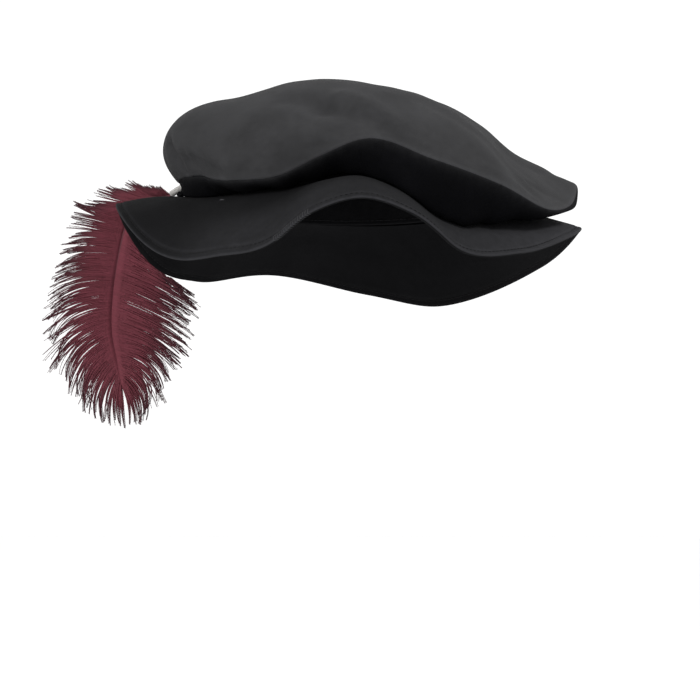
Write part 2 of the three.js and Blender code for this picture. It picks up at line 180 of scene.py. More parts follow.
BARBULE_RADIUS = 0.08
BARBULE_SPIN = 0.9
BARBULE_SLANT = (0.3, 0.8)
BARBULE_TILT = 0.01
BARBULE_TIP = np.array([0, 0, 0, 0.15])  # how much further along, in colour, its points are


def table(names, rows):
    """A short table: the names of its columns, then a row for each section or fold."""
    return [dict(zip(names.split(), row)) for row in rows]


# Angles are in degrees round the head: 0 on the wearer's left, 90 at the back, 270 at the front.
# The brim: the height of its edge, how far it bellies up, at which share of its width the crown rests on it
# and how far above its middle, and how much paler it turns towards its edge: partly rubbing, and painted
# light, least in the cup beside the plume, which lies in the crown's shadow, and most where the brim is lit.
BRIM = table("angle edge belly rest lift rub", [
    (0, -17, 1, 0.24, 2.1, 0.7),
    (25, -35, 4.5, 0.28, 2.1, 0.4),
    (60, -58, 7, 0.25, 2.1, 0.34),
    (85, -47, 7, 0.25, 2.1, 0.34),
    (110, -33, 7, 0.25, 2.1, 0.34),
    (140, -42, 7, 0.25, 2.1, 0.4),
    (158, -36, 6, 0.28, 10, 0.4),
    (170, -15, 5, 0.24, 11, 0.26),
    (182, -2, 4, 0.38, 2, 0.12),
    (196, -12, 4, 0.36, 2, 0.02),
    (212, -40, 7, 0.16, 2.1, 0.05),
    (235, -46, 8, 0.12, 2.1, 0.4),
    (252, -40, 8, 0.12, 2.1, 0.4),
    (262, -24, 8, 0.14, 2.1, 0.34),
    (273, -16, 8, 0.25, 2.1, 0.2),
    (283, -24, 5, 0.5, 2.1, 0.26),
    (296, -43, 1, 0.6, 2.1, 0.5),
    (318, -42, 0, 0.58, 2.1, 0.7),
    (340, -27, 1.5, 0.42, 2.1, 1.1),
])
# The crown: how far out it stays flat, how far out and up its side's curve aims, where the seam is, and how
# far down and in from it the gathered panel's curve aims.
CROWN = table("angle flat sideOut sideUp seamOut seamUp drop inset", [
    (0, 75, 104, 32, 149, 14, 7, -6),
    (30, 66, 122, 38, 138, 2, 8, 3),
    (60, 74, 138, 40, 128, -2, 9, 3),
    (90, 84, 145, 44, 124, 5, 9, 3),
    (120, 94, 142, 44, 118, 2, 9, 3),
    (150, 108, 142, 44, 110, 9, 7, 3),
    (166, 112, 141, 46, 109.5, 16, 6, 5),
    (182, 112, 141.5, 41, 112.5, 13.5, 6, 7),
    (198, 106, 143, 43, 112.5, 13, 7, 5),
    (212, 98, 144, 45, 111, 11, 9, 2),
    (223, 91, 143, 43, 116, 6, 9, 3),
    (235, 84, 142, 41, 121, 3, 9, 3),
    (250, 78, 140, 44, 124, 4, 9, 3),
    (262, 70, 128, 50, 125, 15, 9, 3),
    (275, 62, 120, 54, 128, 25, 9, 3),
    (292, 64, 122, 52, 134, 13, 9, 3),
    (312, 68, 126, 38, 139, 0, 9, 3),
    (330, 68, 116, 29, 144.5, -11.5, 7, -6),
    (345, 72, 108, 27, 147.5, -4, 8.5, -15),
])
# Folds of the crown's top panel: the large ones, then fine creases and drag lines.
FOLDS = table("fromAngle fromShare toAngle toShare width rise", [
    (247, 0.52, 262, 0.68, 9, -3),
    (262, 0.68, 280, 0.9, 8, -3),
    (268, 0.6, 284, 0.88, 8, 2.5),
    (233, 0.9, 262, 0.9, 6, 1.5),
    (228, 0.97, 200, 0.85, 5, -2),
    (215, 0.35, 145, 0.35, 24, -5.5),
    (296, 0.3, 64, 0.28, 22, -3),
    (335, 0.72, 20, 0.7, 17, -4.2),
    (198, 0.77, 203, 0.98, 4.5, -4.2),
    (20, 0.7, 62, 0.9, 10, -2),
    (100, 0.72, 135, 0.9, 10, -2),
    (300, 0.55, 325, 0.92, 10, -1.5),
])
CREASES = table("fromAngle fromShare toAngle toShare width rise", [
    (240, 0.92, 264, 0.95, 2.6, -0.8),
    (246, 0.87, 268, 0.92, 3, -0.6),
    (236, 0.96, 254, 0.985, 2.2, -0.6),
    (262, 0.8, 266, 0.62, 5, 0.8),
    (255, 0.72, 262, 0.84, 4, -0.7),
    (229, 0.98, 214, 0.88, 2.6, -1),
    (230, 0.99, 221, 0.86, 2.4, -0.8),
    (227, 0.98, 206, 0.93, 2.4, -0.9),
    (192, 0.8, 186, 0.97, 3, -0.4),
    (209, 0.84, 207, 0.97, 3, -0.7),
    (286, 0.93, 304, 0.97, 3, 0.7),
    (306, 0.93, 326, 0.97, 3.5, 0.8),
    (330, 0.86, 342, 0.97, 4, -0.8),
    (350, 0.8, 6, 0.95, 5, -0.9),
    (35, 0.82, 48, 0.97, 4, -0.8),
    (72, 0.76, 84, 0.95, 5, -1),
    (112, 0.8, 122, 0.97, 4, -0.9),
    (140, 0.78, 152, 0.96, 5, -1),
    (162, 0.84, 172, 0.97, 3.5, -0.8),
])
SHAFT = table("x y z radius", [
    (-107.8, 27.4, 17.4, 1.1),
    (-114.5, 30, 14.6, 1.2),
    (-121.5, 32, 10.6, 1.3),
    (-128, 34.5, 9.6, 1.4),
    (-136, 38, 9.6, 1.4),
    (-145, 43.5, 6, 1.4),
    (-152, 50, -6, 1.3),
    (-158, 56.5, -27, 1.2),
    (-162, 60.5, -52, 1.1),
    (-163, 62, -78, 1),
    (-159, 62, -101, 0.9),
    (-156, 61, -116, 0.8),
])
SHAFT_TAPER = 0.45
SHAFT_SIDES = 12
SHAFT_ROWS = 160
SHAFT_STEPS = 60  # of its smooth curve, in each part of the table
# The thread wound round the quill, from and to these shares of the shaft.
BINDING = {"start": 0.028, "end": 0.086, "thread": 0.42, "pitch": 0.8, "gap": 0.25, "sides": 8, "steps": 16}

# Vane: at a share of the shaft's length and on each side, how far the barbs reach, how many degrees they
# lean away from the shaft's tip, how many degrees they bend back to it, and how far their ends sink.
VANE = table("along reachLeft reachRight leanLeft leanRight bendLeft bendRight droopLeft droopRight", [
    (0.088, 8, 7, 60, 50, 0, 0, 0, 0),
    (0.11, 12, 10, 44, 34, 0, 0, 0, 1),
    (0.14, 19, 12, 30, 24, 0, 0, 0, 2),
    (0.19, 25, 13, 27, 24, 0, 0, 0, 3),
    (0.27, 31, 16, 62, 30, 0, 0, 0, 5),
    (0.33, 36, 31, 90, 43, 0, 0, 0, 6),
    (0.38, 35, 47, 92, 58, 8, 0, 1, 6),
    (0.43, 37, 58, 92, 69, 24, 0, 2, 5),
    (0.5, 40, 60, 92, 76, 34, 2, 3, 4),
    (0.56, 44, 59, 90, 78, 42, 8, 3, 3),
    (0.65, 48, 57, 86, 75, 50, 10, 3, 3),
    (0.73, 50, 56, 77, 72, 54, 16, 3, 3),
    (0.8, 47, 48, 71, 73, 58, 44, 3, 3),
    (0.88, 41, 42, 64, 70, 62, 80, 3, 3),
    (0.94, 34, 37, 45, 54, 50, 80, 3, 3),
    (1, 27, 27, 6, 11, 10, 20, 3, 3),
])

# Pleats of the gathered panel, and how they drift from even places.
FINE_PLEATS, BROAD_PLEATS = table("count drift depth", [
    (62, 2.2, 1.1),
    (23, 3, 2.1),
])
PLEAT_DRIFT = ((3, 1, 0.9), (7, 0, 0.6))  # waves round the hat, their start and size
FINE_FROM = (0.25, 0.9)  # shares over which the fine pleats set in, and over which they end at the band
FINE_TO = (0.97, 1)
BROAD_ROUNDING = 1.5

# Soft lumps of the cloth: their size, height and seed.
CROWN_LUMPS = ((46, 0.9, 1), (17, 0.35, 2))
CROWN_OUTWARDS = (1, 1, 1.6)
PUCKER = (7, 0.22, 3)
SWELL = (34, 0.5, 4)
BAND_RIPPLE = (9, 0.18, 5)
SEED_SHIFT = (17.3, 5.1, 9.7)

# Colours of 0 to 255; the second is the paler colour of worn places, of painted light and painted highlights.
# thread is the spacing of a cloth's threads, nap how far its fibres stand.
CLOTHS = table("name colour rubbed thread nap gloss sheen", [
    ("crown_wool", (33, 33, 34), (46, 46, 48), 0.62, 0.7, 0.1, 0.01),
    # The gathered panel is the crown's own wool made far darker: painted shade under the crown's overhang.
    ("underside_wool", (5, 5, 6), (24, 24, 25), 0.62, 0.7, 0.01, 0),
    ("brim_wool", (12, 12, 13), (34, 34, 36), 0.62, 0.6, 0.05, 0.003),
    ("brim_twill", (11, 11, 12), (15, 15, 16), 0.5, 0.3, 0.02, 0),
    ("band_twill", (11, 11, 12), (15, 15, 16), 0.5, 0.3, 0.02, 0),
])
THREADS = table("name colour pale", [
    ("black_thread", (10, 10, 11), (22, 22, 23)),
    ("dull_thread", (32, 32, 34), (66, 66, 68)),
    ("grey_thread", (112, 110, 108), (190, 188, 184)),
])
DYES = {
    "root": ((74, 31, 39), (89, 41, 50)),
    "patches": (80, 37, 42),
    "tips": ((40, 23, 27), (62, 36, 41)),
    "horn": ((60, 26, 32), (78, 36, 43)),
}
# Noise in the materials: lumps to a metre, detail and roughness.
NOISES = {
    "clouds": (38, 5),
    "fibres": (900, 4, 0.7),
    "lint": (240, 3),
    "patches": (60, 3),
    "streaks": (250, 3),
    "spun": (2600, 3),
    "worn": (500, 2),
    "floor": (3, 2),
}
WAVE = {"Distortion": 0.6, "Detail": 1, "Detail Scale": 3}
WAVE_LENGTH = 2 * math.pi / 20  # of a wave at scale 1
RIB_SCALE = 0.7
RIB_HEIGHT = 0.6
DARKER = 0.8
PALER = 1.22
LINT_TONE = 0.35
CLOUD_TONE = 0.65
FLECKS = 0.35
LEAST_WEAR_AND_LIGHT = 0.35
LINT_HEIGHT = 1.5  # compared with the nap
DYE_PATCHES = 0.5
LEAST_PALE = 0.5

CAMERA_PLACE = (0, -1.51363, -0.18585)
CAMERA_TILT = 3.408
# Lamps: their names, places, sizes and power.
LAMPS = (
    ("key", (1.5, -0.6, 1.6), 0.6, 58),
    ("fill", (-1.3, -1.55, 0.75), 0.8, 45),
)
FLOOR = (-30, 30, -0.6)  # from and to, both ways, and its height
FLOOR_GREYS = (0.9, 0.92)
SKY = 1.1


def around(rows, key, angle):
    """A smooth value of a table's column at any angles, the table being a closed round."""
    at = np.array([row["angle"] for row in rows], float)
    value = np.array([row[key] for row in rows], float)
    width = (np.roll(at, -1) - at) % 360
    change = (np.roll(value, -1) - value) / width
    before = np.roll(width, 1)
    slope = (np.roll(change, 1) * width + change * before) / (before + width)
    angle = np.mod(angle, 360)
    i = (np.searchsorted(at, angle, side="right") - 1) % len(rows)
    j = (i + 1) % len(rows)
    u = np.mod(angle - at[i], 360) / width[i]
    return (
        (2 * u**3 - 3 * u**2 + 1) * value[i]
        + (u**3 - 2 * u**2 + u) * width[i] * slope[i]
        + (3 * u**2 - 2 * u**3) * value[j]
        + (u**3 - u**2) * width[i] * slope[j]
    )


def vane(key, share):
    """A value of the vane's table at shares of the shaft."""
    return np.interp(share, [row["along"] for row in VANE], [row[key] for row in VANE])


def smoothstep(low, high, x):
    t = np.clip((x - low) / (high - low), 0, 1)
    return t * t * (3 - 2 * t)


def bezier(p0, p1, p2, p3, t):
    s = 1 - t
    return s**3 * p0 + 3 * s * s * t * p1 + 3 * s * t * t * p2 + t**3 * p3


def bell(x, size, width):
    """A size at 0 that falls off smoothly over a width."""
    return size * np.exp(-((x / width) ** 2))


def unit(v):
    return v / np.maximum(np.linalg.norm(v, axis=-1, keepdims=True), 1e-12)


def xyz(x, y, z):
    return np.stack(np.broadcast_arrays(x, y, z), axis=-1).astype(float)


def turned(angle):
    """The direction outwards from the middle of the hat at an angle, in plan."""
    a = np.radians(angle)
    return xyz(np.cos(a), np.sin(a), 0)


def oval(angle, grow, height=0.0):
    """The head oval, grown outwards by a distance."""
    a = np.radians(angle)
    out = unit(xyz(np.cos(a) / HEAD_HALF_WIDTH, np.sin(a) / HEAD_HALF_LENGTH, 0))
    place = xyz(HEAD_HALF_WIDTH * np.cos(a), HEAD_HALF_LENGTH * np.sin(a), height)
    return place + out * np.expand_dims(grow, -1)


def brim_reach(angle):
    """How far the brim reaches in plan. Its cloth keeps its width where it is steep or bellied: a flat bow is
    longer than its chord by 8/3 of its rise squared over the chord."""
    chord = BRIM_WIDTH - (8 / 3) * around(BRIM, "belly", angle) ** 2 / BRIM_WIDTH
    return np.sqrt(chord**2 - around(BRIM, "edge", angle) ** 2)


def brim_height(angle, share):
    belly = 4 * around(BRIM, "belly", angle) * share * (1 - share)
    return around(BRIM, "edge", angle) * share + belly


def brim_point(angle, share):
    """The middle of the brim's two plies."""
    return oval(angle, brim_reach(angle) * share, brim_height(angle, share))


def from_head(x, y):
    """The angle whose outward line on the head oval passes through a point, and how far along it that is."""
    angle = np.degrees(np.arctan2(y / HEAD_HALF_LENGTH, x / HEAD_HALF_WIDTH))
    for _ in range(NEAREST_STEPS):
        foot = oval(angle, np.zeros_like(angle))
        out = oval(angle, np.ones_like(angle)) - foot
        distance = (x - foot[..., 0]) * out[..., 0] + (y - foot[..., 1]) * out[..., 1]
        angle = np.degrees(np.arctan2(
            (y - out[..., 1] * distance) / HEAD_HALF_LENGTH,
            (x - out[..., 0] * distance) / HEAD_HALF_WIDTH,
        ))
    return angle, distance


def section_point(angle, out, up):
    """A point so far out from the hat's middle at an angle, and so high."""
    point = turned(angle) * np.expand_dims(out, -1)
    point[..., 2] = up
    return point


def seam_point(angle):
    return section_point(angle, around(CROWN, "seamOut", angle), around(CROWN, "seamUp", angle))


def smooth_crown(angle, share):
    """The crown's top panel without its folds, from its middle to the seam."""
    flat = section_point(angle, around(CROWN, "flat", angle), CROWN_TOP[2] + CROWN_SWELL)
    side = section_point(angle, around(CROWN, "sideOut", angle), around(CROWN, "sideUp", angle))
    return bezier(np.array(CROWN_TOP), flat, side, seam_point(angle), np.expand_dims(share, -1))


def facing(surface, angle, share, steps=SHORT_STEPS):
    """The directions that a surface faces, from two short steps on it."""
    turn, step = steps
    sideways = surface(angle + turn, share) - surface(angle - turn, share)
    along = surface(angle, np.minimum(share + step, 1)) - surface(angle, np.maximum(share - step, 0))
    return unit(np.cross(along, sideways))


def fold_rise(points, folds):
    """How far folds raise a surface at points. Each is a soft ridge or furrow along a straight line."""
    total = np.zeros(points.shape[:-1])
    for fold in folds:
        start = smooth_crown(fold["fromAngle"], fold["fromShare"])
        line = smooth_crown(fold["toAngle"], fold["toShare"]) - start
        t = np.clip(((points - start) @ line) / (line @ line), 0, 1)
        away = np.linalg.norm(points - start - t[..., None] * line, axis=-1)
        total += bell(away, fold["rise"], fold["width"])
    return total


def waviness(points, size, height, seed):
    """Smooth noise between about -height and height whose lumps are about size millimetres across."""
    shift = Vector([seed * step for step in SEED_SHIFT])
    values = [noise.noise(Vector(p) + shift) for p in (points / size).reshape(-1, 3)]
    return height * np.array(values).reshape(points.shape[:-1])


def crown_point(angle, share):
    point = smooth_crown(angle, share)
    rise = fold_rise(point, FOLDS) + fold_rise(point, CREASES)
    calm = np.minimum(1, (1 - share) / CALM_AT_SEAM)
    return point + facing(smooth_crown, angle, share) * (rise * calm)[..., None]


def smooth_bag(angle, share):
    """The gathered panel without its gathers: from the seam down to the brim, then up to the band."""
    seam = seam_point(angle)
    top = oval(angle, np.full(np.shape(angle), BAND_THICKNESS + BAND_GAP), BAND_TOP)
    rest = brim_point(angle, around(BRIM, "rest", angle))
    rest[..., 2] += around(BRIM, "lift", angle)
    below = seam - turned(angle) * np.expand_dims(around(CROWN, "inset", angle), -1)
    below[..., 2] -= around(CROWN, "drop", angle)
    s = 1 - BAG_TOUCH
    before_top = (rest - s**3 * seam - 3 * s * s * BAG_TOUCH * below - BAG_TOUCH**3 * top) / (
        3 * s * BAG_TOUCH * BAG_TOUCH
    )
    point = bezier(seam, below, before_top, top, share[..., None])
    near, distance = from_head(point[..., 0], point[..., 1])
    on_brim = np.clip(distance / brim_reach(near), 0, 1)
    height = np.maximum(point[..., 2], brim_height(near, on_brim) + BAG_CLEARANCE)
    return oval(near, np.maximum(distance, BAND_THICKNESS + BAND_GAP), height)


def gather_depth(angle, share):
    """How far the gathers pull the panel inwards: many small pleats at the band that run out towards the
    seam, and broad ones where the panel hangs free."""
    a = np.radians(angle)
    drift = sum(size * np.sin(waves * a + start) for waves, start, size in PLEAT_DRIFT)

    def pleats(kind):
        return kind["depth"] * ((1 - np.cos(kind["count"] * a + kind["drift"] * drift)) / 2)

    broad = pleats(BROAD_PLEATS) * np.sin(np.pi * np.clip(share, 0, 1)) ** BROAD_ROUNDING
    fine = pleats(FINE_PLEATS) * smoothstep(*FINE_FROM, share) * (1 - smoothstep(*FINE_TO, share))
    return (1 - bell(angle - FLAT_BY_TACK["angle"], 1, FLAT_BY_TACK["width"])) * (broad + fine)


def bag_point(angle, share):
    inwards = -gather_depth(angle, share)
    return smooth_bag(angle, share) + facing(smooth_bag, angle, share, BAG_STEPS) * inwards[..., None]


def band_point(angle, share):
    """The inner face of the headband."""
    return oval(angle, np.zeros(np.shape(angle)), BAND_TOP - BAND_HEIGHT * share)


def place_object(name, data, place=(0, 0, 0), **settings):
    """An object at a place, with settings of its data."""
    for key, value in settings.items():
        setattr(data, key, value)
    made = bpy.data.objects.new(name, data)
    made.location = place
    bpy.context.scene.collection.objects.link(made)
    return made


def piece_of(name, points, faces, sharp_from=None, **numbers):
    """An object from points in millimetres. numbers are values for each point, which the materials read."""
    mesh = bpy.data.meshes.new(name)
    mesh.from_pydata(np.asarray(points, float).tolist(), [], faces)
    for key, values in numbers.items():
        mesh.attributes.new(key, "FLOAT", "POINT").data.foreach_set("value", values.astype(np.float32))
    mesh.transform(Matrix.Scale(MM, 4))
    mesh.polygons.foreach_set("use_smooth", [True] * len(mesh.polygons))
    if sharp_from:
        mesh.set_sharp_from_angle(angle=math.radians(sharp_from))
    mesh.validate()
    mesh.update()
    return place_object(name, mesh)


def shell(name, skins, flat, wear, middle=False):
    """A closed piece of cloth from its two skins, each a grid of points by row and column, joined along both
    cut edges. flat is each point's place on the flat cloth, with one column more, and wear how pale it is
    made, by rubbing and by painted light. A piece with a middle has one point there."""
    rows, columns = skins[0].shape[:2]

    def number(skin, k, i):
        return (skin * rows + k) * columns + (0 if middle and k == 0 else i % columns)

    end = rows - 1
    cloth = []
    for i in range(columns):
        for k in range(end):
            corners = [(0, k, i), (0, k + 1, i), (0, k + 1, i + 1), (0, k, i + 1)]
            if middle and k == 0:
                corners.pop()
            cloth += [corners, [(1, *corner[1:]) for corner in reversed(corners)]]
        cloth.append([(0, end, i), (1, end, i), (1, end, i + 1), (0, end, i + 1)])
        if not middle:
            cloth.append([(0, 0, i + 1), (1, 0, i + 1), (1, 0, i), (0, 0, i)])
    faces = [[number(*corner) for corner in face] for face in cloth]
    used = sorted({v for face in faces for v in face})
    left = {v: n for n, v in enumerate(used)}
    faces = [[left[v] for v in face] for face in faces]
    points = np.reshape(skins, (-1, 3))[used]
    piece = piece_of(name, points, faces, SHARP_CLOTH, wear=np.tile(wear.ravel(), 2)[used])
    places = np.array([flat[k, i] for face in cloth for _, k, i in face])
    layer = piece.data.uv_layers.new(name="cloth")
    layer.data.foreach_set("uv", (places * MM).astype(np.float32).ravel())
    return piece


def rows_to_edge(start, length, fine, both=False):
    """Shares from start to 1 of a cloth of some length, close together near its edge, or near both edges."""
    close = np.cumsum(np.linspace(*EDGE_STEPS))
    close = close[close < fine]
    room = length * (1 - start)
    distance = np.concatenate([[0], close, np.linspace(fine, room - (fine if both else 0), BRIM_ROWS)])
    if both:
        distance = np.concatenate([distance, room - close[::-1], [room]])
    return np.unique(np.round(1 - distance / length, 6))


def distances(points):
    """The distance from the first point along a line, or down each column of a grid."""
    steps = np.linalg.norm(np.diff(points, axis=0), axis=-1)
    return np.concatenate([np.zeros_like(steps[:1]), np.cumsum(steps, axis=0)])


def at_places(place, travelled, values):
    return np.stack([np.interp(place, travelled, values[:, axis]) for axis in range(3)], axis=-1)


def grid(columns, shares):
    """Angles and shares of a grid, by row and column."""
    return np.meshgrid(np.arange(columns) * 360 / columns, shares)


def disc(radius):
    """A flat round cut whose points lie at these radii, by row and column: each point's place, with the first
    column repeated after the last, and its (width, length) and area in metres."""
    columns = radius.shape[1]
    a = np.radians(np.arange(columns + 1) * 360 / columns)
    closed = np.concatenate([radius, radius[:, :1]], axis=1)
    inner, outer = np.sort(radius[[0, -1]], axis=0)
    quarter = columns // 4
    across = (outer[0] + outer[2 * quarter]) * MM
    along = (outer[quarter] + outer[3 * quarter]) * MM
    area = float(np.mean(outer**2) - inner[0] ** 2) * math.pi * MM * MM
    return np.stack([closed * np.cos(a), closed * np.sin(a)], axis=-1), (across, along), area


def rolled(distance, width):
    """From 0 away from an edge to 1 at it, as a round edge falls away."""
    t = np.clip(1 - distance / width, 0, 1)
    return 1 - np.sqrt(1 - t * t)


def fill(tree, made, inputs):
    """Sets a node's inputs, by number or name, to the outputs of other nodes or to constants."""
    for key, value in inputs.items():
        socket = made.inputs[key.replace("_", " ") if isinstance(key, str) else key]
        if isinstance(value, bpy.types.NodeSocket):
            tree.links.new(value, socket)
        else:
            socket.default_value = value


def node(tree, kind, inputs, output=0, **settings):
    """The output of a new node."""
    made = tree.nodes.new(kind)
    for key, value in settings.items():
        setattr(made, key, value)
    fill(tree, made, inputs)
    return made.outputs[output]


def times(tree, first, second, plus=0.0):
    return node(tree, "ShaderNodeMath", {0: first, 1: second, 2: plus}, operation="MULTIPLY_ADD")


def mix(tree, share, first, second):
    """A blend of two colours, by the numbers of the sockets that a mix has for colours."""
    return node(tree, "ShaderNodeMix", {0: share, 6: first, 7: second}, 2, data_type="RGBA")


def within(tree, value, **ends):
    """A value stretched from one range to another."""
    return node(tree, "ShaderNodeMapRange", {"Value": value, **ends})


def bump(tree, height, strength, depth):
    return node(tree, "ShaderNodeBump", {"Height": height, "Strength": strength, "Distance": depth * MM})


def painted(tree, name):
    return node(tree, "ShaderNodeAttribute", {}, "Fac", attribute_name=name)


def linear(rgb, shade=1):
    """A colour for a shader from its sRGB values of 0 to 255, made darker or paler by a factor."""
    light = [((c / 255 + 0.055) / 1.055) ** 2.4 if c > 10 else c / 255 / 12.92 for c in rgb]
    return tuple(c * shade for c in light) + (1,)


def new_material(name, *kinds):
    """A material and its node tree, with kinds of noise in the piece's own space."""
    material = bpy.data.materials.new(name)
    material.use_nodes = True
    tree = material.node_tree
    solid = node(tree, "ShaderNodeTexCoord", {}, "Object")
    noises = [dict(zip(("Scale", "Detail", "Roughness"), NOISES[kind]), Vector=solid) for kind in kinds]
    return material, tree, *[node(tree, "ShaderNodeTexNoise", inputs, "Fac") for inputs in noises]


def finished(material, **inputs):
    """The material, with these inputs of its shader set."""
    fill(material.node_tree, material.node_tree.nodes["Principled BSDF"], inputs)
    return material


def cloth_material(name, colour, rubbed, thread, nap, gloss, sheen):
    """Twilled woollen cloth with a soft nap: two crossing threads and a slanting rib, clouded colour, and
    paler where it is worn and where painted light and highlights lie."""
    material, tree, clouds, fibres, lint = new_material(name, "clouds", "fibres", "lint")
    flat = node(tree, "ShaderNodeUVMap", {}, "UV", uv_map="cloth")
    scale = WAVE_LENGTH / (thread * MM)

    def wave(turn, size):
        place = node(tree, "ShaderNodeMapping", {"Vector": flat, "Rotation": (0, 0, math.radians(turn))})
        return node(tree, "ShaderNodeTexWave", {"Vector": place, "Scale": size, **WAVE}, "Fac")

    threads = times(tree, wave(0, scale), wave(90, scale))
    weave = times(tree, wave(45, scale * RIB_SCALE), RIB_HEIGHT, threads)
    tone = times(tree, lint, LINT_TONE, times(tree, clouds, CLOUD_TONE))
    pale = linear(colour, PALER)
    base = mix(tree, within(tree, tone, From_Min=0.36, From_Max=0.64), linear(colour, DARKER), pale)
    base = mix(tree, times(tree, times(tree, fibres, weave), FLECKS), base, pale)
    uneven = times(tree, painted(tree, "wear"), times(tree, lint, 1, LEAST_WEAR_AND_LIGHT))
    height = times(tree, lint, LINT_HEIGHT * nap, times(tree, fibres, nap, weave))
    return finished(
        material,
        Base_Color=mix(tree, uneven, base, linear(rubbed)),
        Roughness=within(tree, lint, To_Min=0.86, To_Max=1),
        Normal=bump(tree, height, strength=0.8, depth=0.12),
        Specular_IOR_Level=gloss,
        Sheen_Weight=sheen,
        Sheen_Roughness=0.45,
        Sheen_Tint=(0.75, 0.77, 0.8, 1),
    )


def feather_material():
    """Dyed ostrich barbs: wine at the shaft, duller and darker in the loose ends, and no two quite alike."""
    material, tree, patches = new_material("dyed_feather", "patches")
    tone = painted(tree, "tone")
    root = mix(tree, tone, *map(linear, DYES["root"]))
    root = mix(tree, times(tree, patches, DYE_PATCHES), root, linear(DYES["patches"]))
    tips = mix(tree, tone, *map(linear, DYES["tips"]))
    far = within(tree, painted(tree, "along"), From_Min=0.45, From_Max=1)
    rough = within(tree, tone, To_Min=0.6, To_Max=0.85)
    return finished(material, Base_Color=mix(tree, far, root, tips), Roughness=rough, Specular_IOR_Level=0.12)


def shaft_material():
    """Horn of the shaft, dyed with the barbs and a little glossy."""
    material, tree, streaks = new_material("dyed_quill", "streaks")
    base = mix(tree, streaks, *map(linear, DYES["horn"]))
    relief = bump(tree, streaks, strength=0.4, depth=0.1)
    return finished(material, Base_Color=base, Normal=relief, Roughness=0.6, Specular_IOR_Level=0.2)


def thread_material(name, colour, pale):
    """Spun thread with a slight twist and a dry finish."""
    material, tree, fibres, patches = new_material(name, "spun", "worn")
    blend = times(tree, fibres, times(tree, patches, 1, LEAST_PALE))
    base = mix(tree, blend, linear(colour), linear(pale))
    relief = bump(tree, fibres, strength=0.7, depth=0.08)
    return finished(material, Base_Color=base, Normal=relief, Roughness=0.9, Specular_IOR_Level=0.1)


def dress(piece, material, slot, *nodes):
    """Gives a piece its material and its body, and hides the frame's parts for the nodes that it stands
    for. slot is not used.
    """
    piece.data.materials.append(material)
    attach(piece, "root")
    if nodes:
        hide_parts(*nodes)


def crown_skins(surface, angle, share, to_seam, side):
    """The two skins of a crown panel. Both turn in to the seam, and the panel is thin there, so that the two
    panels lie against each other. side is 1 for the panel above the seam and -1 below it."""
    point = surface(angle, share)
    normal = facing(surface, angle, share, SHORT_STEPS if side > 0 else BAG_STEPS)
    turned_in = np.clip(1 - to_seam / SEAM_ROLL, 0, 1) ** 2
    outer = -SEAM_SINK * turned_in
    inner = -np.minimum(CLOTH, SEAM_SINK + SEAM_CLOTH + SEAM_TAPER * to_seam)
    apart = xyz(0, 0, SEAM_APART * side * turned_in)
    return [point + normal * depth[..., None] + apart for depth in (outer, inner)]


def crown_surface(angle, share):
    """The crown's top panel with its folds and soft lumps."""
    point = crown_point(angle, share)
    calm = np.minimum(1, (1 - share) / CALM_AT_SEAM) * np.minimum(1, share / CALM_AT_MIDDLE)
    soft = sum(waviness(point, *lumps) for lumps in CROWN_LUMPS)
    return point + unit(point * CROWN_OUTWARDS) * (soft * calm)[..., None]


def make_crown_top(material):
    close = SEAM_ROWS["topShare"] * np.linspace(1, 0, SEAM_ROWS["top"])[:-1] ** SEAM_ROWS["crowding"]
    shares = np.concatenate([np.linspace(0, SEAM_ROWS["wideTo"], CROWN_ROWS), 1 - close, [1]])
    angle, share = grid(CROWN_COLUMNS, shares)
    distance = distances(smooth_crown(angle, share))
    to_seam = distance[-1] - distance
    skins = crown_skins(crown_surface, angle, share, to_seam, side=1)
    for skin in skins:
        skin[0] = skin[0].mean(axis=0)
    flat, size, area = disc(distance)
    piece = shell("crown_top_cloth", skins, flat, bell(to_seam, *SEAM_WEAR), middle=True)
    dress(piece, material, "crown_cloth", "crown_top")


def make_crown_underside(material):
    near = SEAM_ROWS["bagShare"]
    close = near * np.linspace(0, 1, SEAM_ROWS["bag"])[1:-1] ** SEAM_ROWS["crowding"]
    shares = np.concatenate([[0], close, np.linspace(near, 1, BAG_ROWS)])
    angle, share = grid(CROWN_COLUMNS, shares)
    distance = distances(smooth_bag(angle, share))
    skins = crown_skins(bag_point, angle, share, distance, side=-1)
    flat, size, area = disc(distance[-1] - distance + BAG_HOLE)
    # Paler within a few millimetres of the seam: painted light where the roll turns under, fading into the
    # painted shade of the rest of the panel.
    piece = shell("crown_underside_cloth", skins, flat, np.exp(-distance / BAG_LIGHT_WIDTH))
    dress(piece, material, "underside_cloth", "crown_underside")


